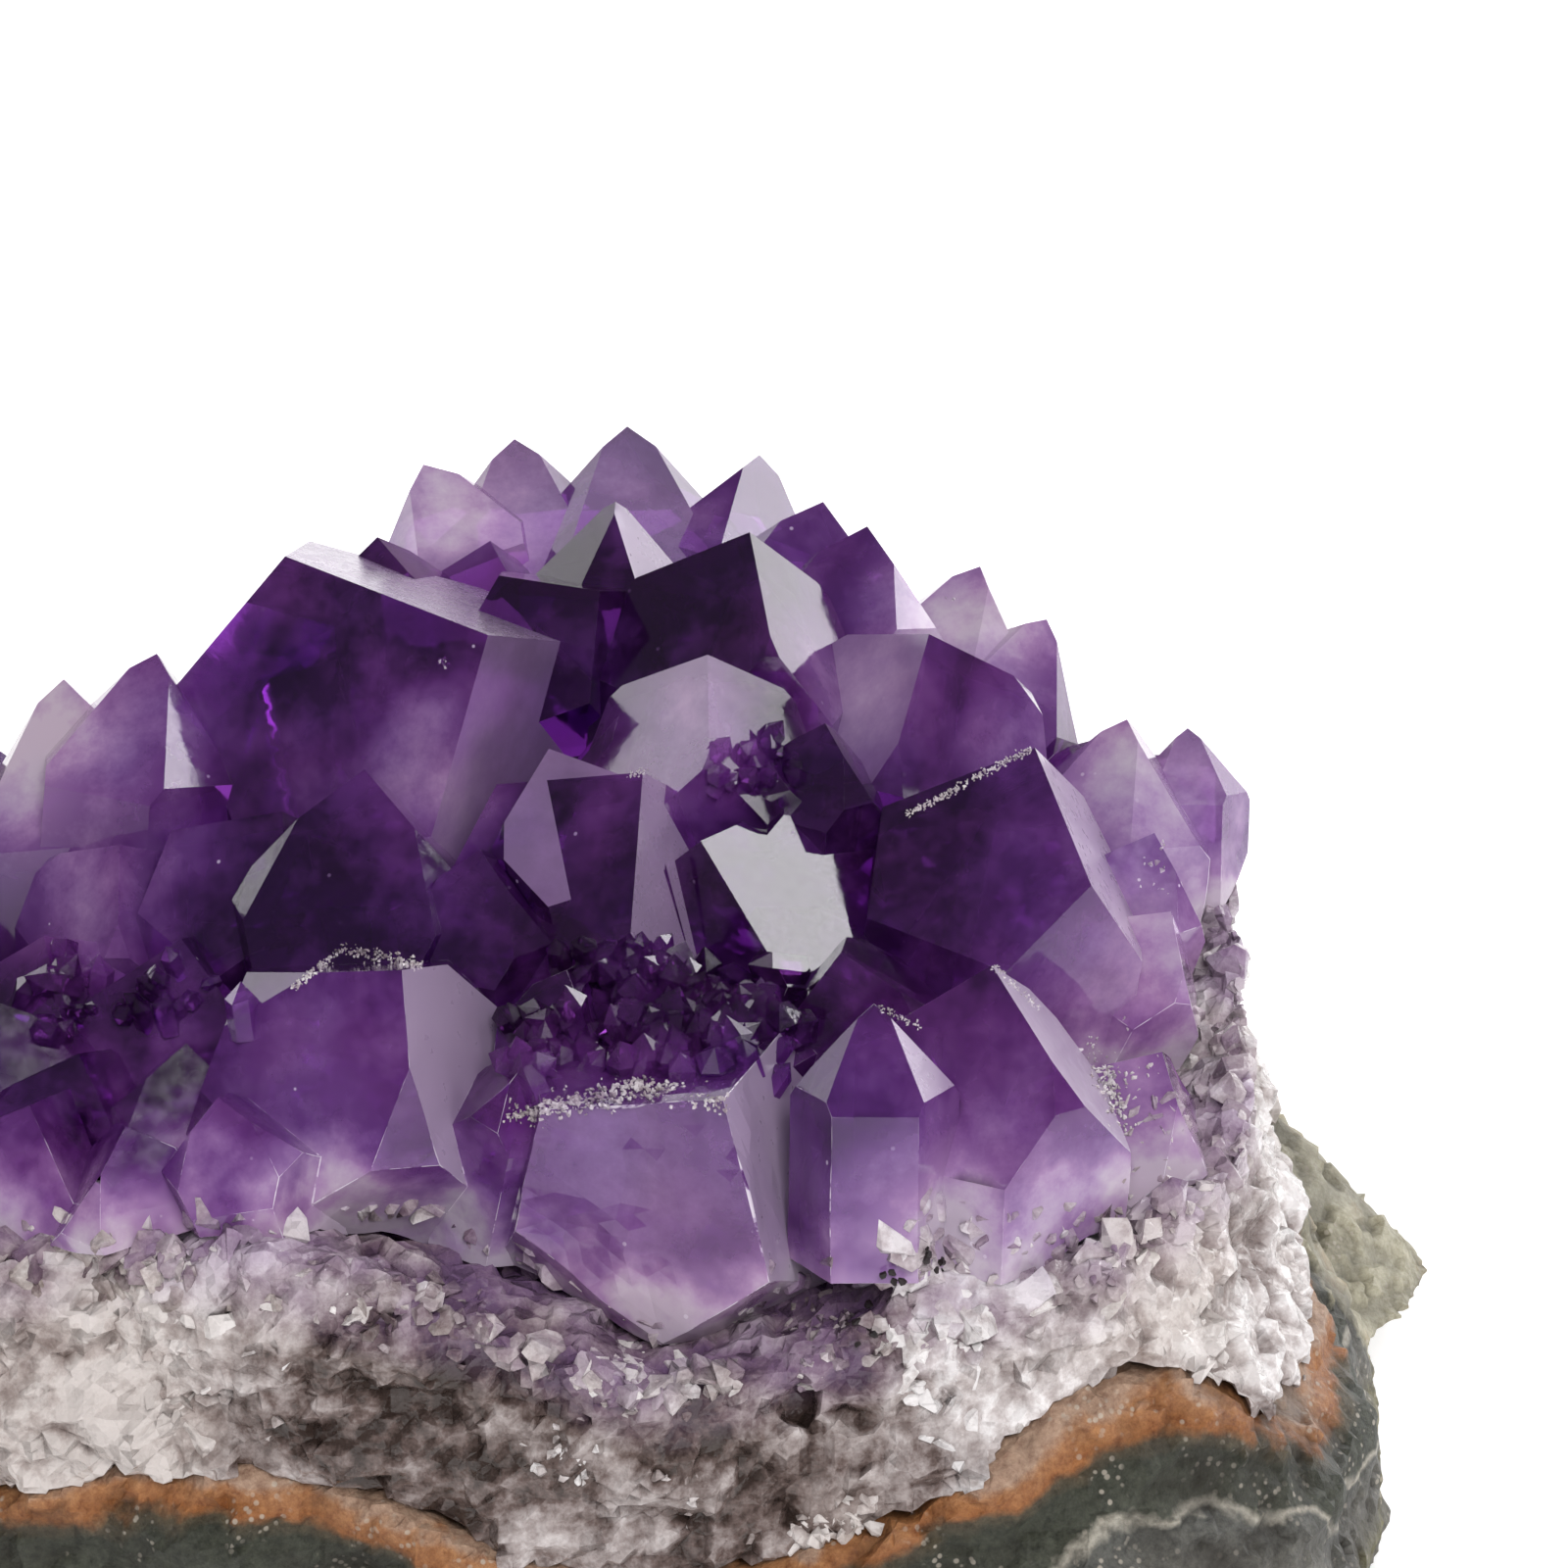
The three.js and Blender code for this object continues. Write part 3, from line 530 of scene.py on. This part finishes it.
def milky_quartz_material():
    """Massive milky quartz, broken by hand: sugary grains, white to grey-beige, darker and browner in
    the hollows, stained lilac close to the crystals."""
    material, tree, output = new_material("milky_quartz")
    place = add_node(tree, "ShaderNodeTexCoord").outputs["Object"]
    clouds = spread(tree, noise(tree, place, 90, 5), 0.3, 0.7, -0.3, 0.3)
    white = either(tree, attribute(tree, "whiteness"), clouds, "ADD")
    # Darker and browner in the hollows, a little lighter on the rises.
    white = either(tree, white, spread(tree, attribute(tree, "hollow"), 0.0, 1.0, 0.12, -0.45), "ADD")
    fine = spread(tree, noise(tree, place, 600, 4, 0.7), 0.35, 0.65, -0.22, 0.22)
    white = either(tree, white, fine, "ADD")
    stone = ramp(tree, white, [(0.0, "#3C302C"), (0.25, "#6E5E5A"), (0.55, "#A89C9A"), (0.8, "#CFC6C5"),
                               (1.0, "#EFEAEA")])
    warm = spread(tree, noise(tree, place, 45, 3), 0.5, 0.65, 0.0, 0.35)
    stone = mix(tree, warm, stone, linear("#A08468"), "MULTIPLY")
    lilac = either(tree, spread(tree, attribute(tree, "under_roots"), -1 * MM, 5 * MM, 0.6, 0.0),
                   spread(tree, noise(tree, place, 120, 3), 0.4, 0.6, 0.3, 1.0), "MULTIPLY")
    colour = mix(tree, lilac, stone, linear("#8E6C9E"))
    bump = add_node(tree, "ShaderNodeBump", Strength=0.5, Distance=0.3 * MM,
                    Height=noise(tree, place, 1300, 4), Normal=broken_faces(tree, place, 750, 0.9))
    shader = add_node(tree, "ShaderNodeBsdfPrincipled", Base_Color=colour, IOR=1.544,
                      Roughness=spread(tree, noise(tree, place, 1500, 1), 0.35, 0.65, 0.08, 0.45),
                      Normal=bump.outputs["Normal"])
    tree.links.new(shader.outputs["BSDF"], output.inputs["Surface"])
    return material


def wall_rock_material():
    """Weathered basalt wall of the vein: a rust-brown band at the quartz, a dark green-grey speckled
    one, a thin pale line, then slate grey with olive streaks; the flake is dull olive-grey and tan."""
    material, tree, output = new_material("wall_rock")
    place = add_node(tree, "ShaderNodeTexCoord").outputs["Object"]
    wander = spread(tree, noise(tree, place, 160, 4), 0.3, 0.7, -1.0 * MM, 1.0 * MM)
    depth = either(tree, attribute(tree, "below_band"), wander, "ADD")
    bands = ramp(tree, spread(tree, depth, 0.0, 20 * MM), [
        (0.0, "#A88A78"), (0.03, "#A67450"), (0.09, "#96603A"), (0.125, "#544A3C"), (0.17, "#3A3C34"),
        (0.32, "#44463E"), (0.345, "#B4AEA4"), (0.37, "#565654"), (0.55, "#6C6964"), (0.7, "#7C764C"),
        (0.76, "#625E54"), (1.0, "#5E5C58")])
    dull = ramp(tree, noise(tree, place, 110, 4), [(0.35, "#A29C88"), (0.55, "#BCB6A2"), (0.7, "#C8AC84")])
    colour = mix(tree, attribute(tree, "flake"), bands, dull)
    grain = ramp(tree, noise(tree, place, 1400, 6, 0.8), [(0.3, "#101010"), (0.7, "#F8F8F0")])
    colour = mix(tree, 0.75, colour, grain, "SOFT_LIGHT")
    pale = either(tree, specks(tree, place, 1500, 0.22), spread(tree, noise(tree, place, 200, 3), 0.5, 0.6),
                  "MULTIPLY")
    colour = mix(tree, either(tree, pale, 0.6, "MULTIPLY"), colour, linear("#C8BEB0"))
    # Nearly black in the hollows: darker the deeper the surface was pushed in.
    colour = mix(tree, spread(tree, attribute(tree, "hollow"), 0.4, 1.0, 0.0, 0.7), colour,
                 linear("#241E18"))
    bump = add_node(tree, "ShaderNodeBump", Strength=0.8, Distance=0.4 * MM,
                    Height=noise(tree, place, 1000, 6, 0.7), Normal=broken_faces(tree, place, 500, 0.5))
    shader = add_node(tree, "ShaderNodeBsdfPrincipled", Base_Color=colour, Roughness=0.6,
                      Normal=bump.outputs["Normal"])
    tree.links.new(shader.outputs["BSDF"], output.inputs["Surface"])
    return material


def speck_material():
    """Black iron-oxide specks, dull."""
    material, tree, output = new_material("iron_oxide")
    place = add_node(tree, "ShaderNodeTexCoord").outputs["Object"]
    colour = ramp(tree, noise(tree, place, 2000, 2), [(0.3, "#120E10"), (0.7, "#2C2224")])
    shader = add_node(tree, "ShaderNodeBsdfPrincipled", Base_Color=colour, Roughness=0.5)
    tree.links.new(shader.outputs["BSDF"], output.inputs["Surface"])
    return material


def crystal_values(mesh, bare):
    """Keeps for each corner how far it is above the roots, and how pale the crystal is there:
    the largest of strength * exp(-d^2 / 2 r^2) over the pale zones. The far ones are paler too."""
    points = mesh_points(mesh)
    store(mesh, "rise", points[:, 2] - bare.roots(points))
    pale = np.zeros(len(points))
    for across, down, reach, strength in PALE_ZONES:
        middles, _ = found_in_picture(bare.crystals, [(across, down)])
        if len(middles):
            square = np.sum((points - middles[0]) ** 2, axis=1)
            pale = np.maximum(pale, strength * np.exp(-square / (2 * (reach * MM) ** 2)))
    behind = np.clip((points[:, 1] - 14 * MM) / (12 * MM), 0, 1) * 0.35
    store(mesh, "pale", np.maximum(pale, behind))


def store_matt_and_painted_reflection_faces(mesh, bare):
    """Marks the faces that lie in the same plane as a place on a listed face, close to it: there the
    crystal is made matt and painted grey-lilac as a painted reflection.
    """
    same_way, same_plane, reach = 0.999, 0.05 * MM, 16 * MM
    count = len(mesh.polygons)
    centres, normals = np.empty(3 * count), np.empty(3 * count)
    mesh.polygons.foreach_get("center", centres)
    mesh.polygons.foreach_get("normal", normals)
    centres, normals = centres.reshape(-1, 3), normals.reshape(-1, 3)
    matt_and_painted_reflection = np.zeros(count)
    for across, down, strength in MATT_AND_PAINTED_REFLECTION_FACES:
        places, ways = found_in_picture(bare.crystals, [(across, down)])
        if len(places):
            away = centres - places[0]
            same = (normals @ ways[0] > same_way) & (np.abs(away @ ways[0]) < same_plane)
            same &= np.linalg.norm(away, axis=1) < reach
            matt_and_painted_reflection[same] = strength
    layer = mesh.attributes.new("matt_and_painted_reflection", "FLOAT", "FACE")
    layer.data.foreach_set("value", matt_and_painted_reflection.astype(np.float32))


def make_roots_lumpy(mesh, bare):
    """Moves the crystals' lower parts in and out by smooth noise, most at the roots and on the
    rounded big crystal at the front: amount * (cloud 5 mm + half cloud 2.4 mm)."""
    points = mesh_points(mesh)
    root_height, rounded_reach = 9 * MM, 8 * MM
    low = np.clip(1 - (points[:, 2] - bare.roots(points)) / root_height, 0, 1)
    middle, _ = found_in_picture(bare.crystals, [ROUNDED_CRYSTAL])
    near = np.exp(-np.sum((points - middle[0]) ** 2, axis=1) / (2 * rounded_reach ** 2))
    amount = np.maximum(0.35 * MM * low, 0.6 * MM * near)
    lift = amount * (cloud(points, 5 * MM, 21) + 0.5 * cloud(points, 2.4 * MM, 22))
    moved = points + mesh_normals(mesh) * lift[:, None]
    mesh.vertices.foreach_set("co", moved.ravel())
    mesh.update()


def split_long_edges(mesh, longest):
    """Cuts the flat faces finely enough to carry smooth values: long edges are halved, five times."""
    shape = bmesh.new()
    shape.from_mesh(mesh)
    for _ in range(5):
        bmesh.ops.triangulate(shape, faces=shape.faces)
        long_ones = [edge for edge in shape.edges if edge.calc_length() > longest]
        bmesh.ops.subdivide_edges(shape, edges=long_ones, cuts=1)
    bmesh.ops.triangulate(shape, faces=shape.faces)
    shape.to_mesh(mesh)
    shape.free()


def dress(piece, node, material):
    """Gives a piece its material in its own slot, hides the node that it stands for, and lets it ride the
    one body.
    """
    piece.data.materials.append(material)
    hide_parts(node)
    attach(piece, "root")


def make_crystals(amethyst, bare):
    """The crystals, their edges barely worn. A second, empty material marks the worn edges until
    they are kept as a value on the faces."""
    piece = merged_copy("amethyst_crystals", "crystal_points")
    piece.data.materials.append(None)
    piece.data.materials.append(None)
    bevel = piece.modifiers.new("worn_edges", "BEVEL")
    bevel.width = CRYSTAL_BEVEL
    bevel.segments = 1
    bevel.limit_method = "ANGLE"
    bevel.angle_limit = math.radians(20)
    bevel.material = 1
    finished_mesh(piece)
    split_long_edges(piece.data, CRYSTAL_STEP)
    store_matt_and_painted_reflection_faces(piece.data, bare)
    make_roots_lumpy(piece.data, bare)
    on_edge = np.empty(len(piece.data.polygons), dtype=np.int32)
    piece.data.polygons.foreach_get("material_index", on_edge)
    layer = piece.data.attributes.new("worn_edge", "FLOAT", "FACE")
    layer.data.foreach_set("value", on_edge.astype(np.float32))
    piece.data.polygons.foreach_set("material_index", np.zeros_like(on_edge))
    piece.data.materials.clear()
    crystal_values(piece.data, bare)
    dress(piece, "amethyst_crystals", amethyst)


def make_small_points(amethyst, bare):
    """Small quartz points that fill the broken hollow and the gaps between the big ones. Each stands
    between its face's outward direction and straight up, leaning at random."""
    draw = np.random.default_rng(31)
    places, ways, sizes = [], [], []
    for middle, half, count, size in GLITTER_PATCHES:
        seen = np.array(middle) + draw.normal(0, 0.45, (count, 2)) * np.array(half)
        found, normals = found_in_picture(bare.crystals, seen)
        places.append(found)
        ways.append(normals * 0.5 + np.array([0, 0, 0.6]) + draw.normal(0, 0.35, found.shape))
        sizes.append(draw.uniform(*size, len(found)) * MM)
    piece = scattered("small_points", [point_shape()], np.vstack(places), np.vstack(ways),
                      np.concatenate(sizes), 32, 0.0)
    crystal_values(piece.data, bare)
    dress(piece, "amethyst_crystals", amethyst)


def make_chipped_ridges(milky_quartz, bare):
    """Chipped ridges: a crust of fine white splinters where the crystals' edges were knocked."""
    draw = np.random.default_rng(81)
    places, sizes = [], []
    for start, end, count, size, across in CHIPPED_RIDGES:
        along = draw.uniform(0, 1, (count, 1))
        seen = np.array(start) * (1 - along) + np.array(end) * along + draw.normal(0, across, (count, 2))
        found, _ = found_in_picture(bare.crystals, seen)
        places.append(found)
        sizes.append(draw.uniform(*size, len(found)) * MM)
    places = np.vstack(places)
    piece = scattered("chipped_ridges", [shard_shape(salt) for salt in range(3)], places,
                      draw.normal(size=places.shape), np.concatenate(sizes), 82, 0.6)
    store(piece.data, "under_roots", np.full(len(piece.data.vertices), 0.5 * MM))
    dress(piece, "amethyst_crystals", milky_quartz)


def make_chips(milky_quartz, bare):
    """Patches of broken white quartz between and below the front crystals, and white bits on the crystals
    as painted glints.
    """
    sunk = 0.32
    draw = np.random.default_rng(41)
    places, sizes, white = [], [], []
    for middle, half, count, size, whiteness in BROKEN_PATCHES_AND_PAINTED_GLINTS:
        seen = np.array(middle) + draw.normal(0, 0.5, (count, 2)) * np.array(half)
        found, normals = found_in_picture(bare.front, seen)
        bit = draw.uniform(*size, len(found)) * MM
        places.append(found - normals * bit[:, None] * sunk)
        sizes.append(bit)
        white.append(np.full(len(found), whiteness))
    places = np.vstack(places)
    shapes = [shard_shape(salt) for salt in range(8)]
    piece = scattered("quartz_chips_and_painted_glints", shapes, places, draw.normal(size=places.shape),
                      np.concatenate(sizes), 42, np.concatenate(white))
    finish_quartz_bits(piece, milky_quartz, bare)


def make_root_belt(milky_quartz, bare):
    """Broken lumps of quartz all round, where the crystals' roots pass into the quartz. Each is
    found by a level line from outside, first at a usual height and then at that of the roots."""
    count, sunk, far, usual_height = 1000, 0.28, 120 * MM, 28 * MM
    draw = np.random.default_rng(51)
    middle = np.array([-5.6, 2.3, 0.0]) * MM
    places, normals = [], []
    for angle in draw.uniform(0, 2 * math.pi, count):
        outward = np.array([math.cos(angle), math.sin(angle), 0.0])
        level = usual_height
        for _ in range(2):
            start = middle + outward * far + np.array([0, 0, level])
            hit = nearest_hit(bare.front, Vector(start), Vector(-outward))
            if hit is not None:
                level = bare.roots(hit[0][None])[0] + draw.normal(-0.4, 1.3) * MM
        if hit is not None:
            places.append(hit[0])
            normals.append(hit[1])
    places, normals = np.array(places), np.array(normals)
    sizes = (0.8 + 3.6 * draw.uniform(0, 1, len(places)) ** 2) * MM
    places = places - normals * sizes[:, None] * sunk
    shapes = [shard_shape(salt) for salt in range(10, 18)]
    piece = scattered("root_lumps", shapes, places, draw.normal(size=places.shape), sizes, 52, 0.3)
    finish_quartz_bits(piece, milky_quartz, bare)


def finish_quartz_bits(piece, milky_quartz, bare):
    """How far the small bits are under the roots, more or less by each bit's own tone."""
    points = mesh_points(piece.data)
    tone = np.empty(len(points), dtype=np.float32)
    piece.data.attributes["tone"].data.foreach_get("value", tone)
    store(piece.data, "under_roots", bare.roots(points) - points[:, 2] + 5 * MM * (tone - 0.2))
    dress(piece, "quartz_layer", milky_quartz)


def make_quartz(milky_quartz, bare):
    """The quartz layer, broken into lumps and sugary grains: whiter behind and at the left and right
    ends of the front, grey-brown between them. Its lift is smooth noise plus two sizes of grains."""
    plain_white, added_white, end, fade, hollow_depth = 0.47, 0.6, 18 * MM, 8 * MM, 1.2 * MM
    piece = stone_copy("quartz_layer", "sugary_quartz")
    points = mesh_points(piece.data)
    lift = 0.7 * MM * cloud(points, 6 * MM, 1) + 0.9 * MM * (grains(points, 3.2 * MM, 2) - 0.3)
    lift += 0.35 * MM * (grains(points, 1.4 * MM, 5) - 0.3)
    roughen(piece, lift)
    across = points[:, 0] + 5 * MM * cloud(points, 12 * MM, 6)
    left = np.clip((-end - across) / fade, 0, 1)
    right = np.clip((across - end) / fade, 0, 1) * 0.72
    behind = np.clip((points[:, 1] + 15 * MM) / (20 * MM), 0, 1) * 0.5
    whitest = np.maximum(np.maximum(left, right), behind)
    store(piece.data, "whiteness", plain_white + added_white * whitest)
    store(piece.data, "hollow", np.clip(0.5 - lift / hollow_depth, 0, 1))
    points = mesh_points(piece.data)
    store(piece.data, "under_roots", bare.roots(points) - points[:, 2])
    dress(piece, "quartz_layer", milky_quartz)


def make_rock(wall_rock):
    """The wall rock, broken across its bands in small ledges: smooth noise plus grains. Keeps how
    far each corner is below the rust band, and which corners are the flake's."""
    hollow_depth = 1.2 * MM
    band = top_surface("matrix_rock")
    piece = stone_copy("matrix_rock", "banded_rock")
    points = mesh_points(piece.data)
    lift = 0.6 * MM * cloud(points, 7 * MM, 11) + 0.5 * MM * (grains(points, 2.6 * MM, 12) - 0.3)
    lift += 0.2 * MM * cloud(points, 1.2 * MM, 13)
    roughen(piece, lift)
    points = mesh_points(piece.data)
    store(piece.data, "below_band", band(points) - points[:, 2])
    store(piece.data, "hollow", np.clip(0.5 - lift / hollow_depth, 0, 1))
    across, down = seen_at(points)
    edge = np.interp(down, FLAKE_EDGE_DOWN, FLAKE_EDGE_ACROSS)
    store(piece.data, "flake", ((across > edge) & (down < FLAKE_BOTTOM)).astype(float))
    dress(piece, "matrix_rock", wall_rock)


def make_specks(bare):
    """Black specks on the quartz at the front, each a small group."""
    in_group, spread_pixels = 3, 5
    draw = np.random.default_rng(61)
    seen = np.repeat(np.array(DARK_SPECKS), in_group, axis=0)
    seen = seen + draw.normal(0, spread_pixels, seen.shape)
    places, normals = found_in_picture(bare.front, seen)
    sizes = draw.uniform(0.3, 0.8, len(places)) * MM
    places = places + normals * 0.6 * MM
    piece = scattered("black_specks", [shard_shape(71), shard_shape(72)], places, normals, sizes, 62, 0.0)
    dress(piece, "quartz_layer", speck_material())


def make_camera():
    """The photograph's view: its middle looks at the sight point."""
    camera = bpy.data.objects.new("camera", bpy.data.cameras.new("camera"))
    bpy.context.scene.collection.objects.link(camera)
    camera.location = EYE
    camera.rotation_euler = (math.pi / 2 - LOOK_DOWN, 0.0, 0.0)
    camera.data.sensor_width = SENSOR_WIDTH
    camera.data.lens = SENSOR_WIDTH * SIGHT_DISTANCE / (PICTURE_WIDTH / PIXELS_PER_MM * MM)
    camera.data.clip_start = 0.01
    bpy.context.scene.camera = camera


def softbox(name, azimuth, elevation, distance, size, brightness, mirrored, lights):
    """A square soft light that looks at the crystals. Azimuth in degrees from straight behind them
    to the right; brightness is that of its face, with a white wall as 1. Some are only mirrored,
    some only light the matt surfaces."""
    light = bpy.data.lights.new(name, "AREA")
    light.shape = "SQUARE"
    light.size = size
    light.energy = brightness * math.pi * size ** 2
    lamp = bpy.data.objects.new(name, light)
    flat = math.cos(math.radians(elevation)) * distance
    middle = Vector((0.0, 0.0, 0.045))
    lamp.location = middle + Vector((flat * math.sin(math.radians(azimuth)),
                                     flat * math.cos(math.radians(azimuth)),
                                     distance * math.sin(math.radians(elevation))))
    lamp.rotation_euler = (middle - lamp.location).to_track_quat("-Z", "Y").to_euler()
    lamp.visible_glossy = mirrored
    lamp.visible_diffuse = lights
    bpy.context.scene.collection.objects.link(lamp)


def make_studio():
    """A pale floor that curves up behind and glows as painted light, bright at the back and the right
    and dark towards the camera, so that the crystals' fronts mirror a dark room and their right faces a
    bright one."""
    reach, flat_to, bend, wall, steps = 3.0, 1.2, 0.5, 1.6, 12
    profile = [(-reach, 0.0), (flat_to, 0.0)]
    for step in range(1, steps + 1):
        angle = math.radians(90 * step / steps)
        profile.append((flat_to + bend * math.sin(angle), bend * (1 - math.cos(angle))))
    profile.append((flat_to + bend, wall))
    corners = [(side * reach, y, z) for y, z in profile for side in (-1, 1)]
    faces = [(2 * i, 2 * i + 1, 2 * i + 3, 2 * i + 2) for i in range(len(profile) - 1)]
    mesh = bpy.data.meshes.new("pale_floor")
    mesh.from_pydata(corners, [], faces)
    floor = bpy.data.objects.new("pale_floor", mesh)
    bpy.context.scene.collection.objects.link(floor)
    material, tree, output = new_material("pale_floor")
    place = add_node(tree, "ShaderNodeTexCoord").outputs["Object"]
    parts = add_node(tree, "ShaderNodeSeparateXYZ", Vector=place)
    # Painted light: the floor glows, more towards the back and the right, in place of lamps lighting the
    # backdrop there.
    behind = spread(tree, parts.outputs["Y"], -0.1, 0.6, 0.0, 1.0)
    right = spread(tree, parts.outputs["X"], 0.05, 0.5, 0.0, 1.6)
    shader = add_node(tree, "ShaderNodeBsdfPrincipled", Base_Color=linear("#F7F6F6"), Roughness=0.9,
                      Emission_Color=linear("#FFFFFF"),
                      Emission_Strength=either(tree, either(tree, behind, right), 0.25, "ADD"))
    tree.links.new(shader.outputs["BSDF"], output.inputs["Surface"])
    material.cycles.emission_sampling = "NONE"
    mesh.materials.append(material)
    for lamp in STUDIO_LAMPS:
        softbox(*lamp)
    world = bpy.data.worlds.new("studio")
    world.use_nodes = True
    background = world.node_tree.nodes["Background"]
    background.inputs["Color"].default_value = linear("#FFFFFF")
    background.inputs["Strength"].default_value = AMBIENT_LIGHT
    bpy.context.scene.world = world


def set_light_paths():
    """Plain colours, and only as many bounces of light as change what is seen in the crystals."""
    scene = bpy.context.scene
    scene.view_settings.view_transform = "Standard"
    scene.cycles.max_bounces = 4
    scene.cycles.transmission_bounces = 4
    scene.cycles.diffuse_bounces = 1
    scene.cycles.glossy_bounces = 2
    scene.cycles.transparent_max_bounces = 8


make_camera()
make_studio()
bare_surfaces = BareSurfaces()
amethyst_look = amethyst_material()
quartz_look = milky_quartz_material()
make_crystals(amethyst_look, bare_surfaces)
make_small_points(amethyst_look, bare_surfaces)
make_quartz(quartz_look, bare_surfaces)
make_root_belt(quartz_look, bare_surfaces)
make_chips(quartz_look, bare_surfaces)
make_chipped_ridges(quartz_look, bare_surfaces)
make_specks(bare_surfaces)
make_rock(wall_rock_material())
set_light_paths()
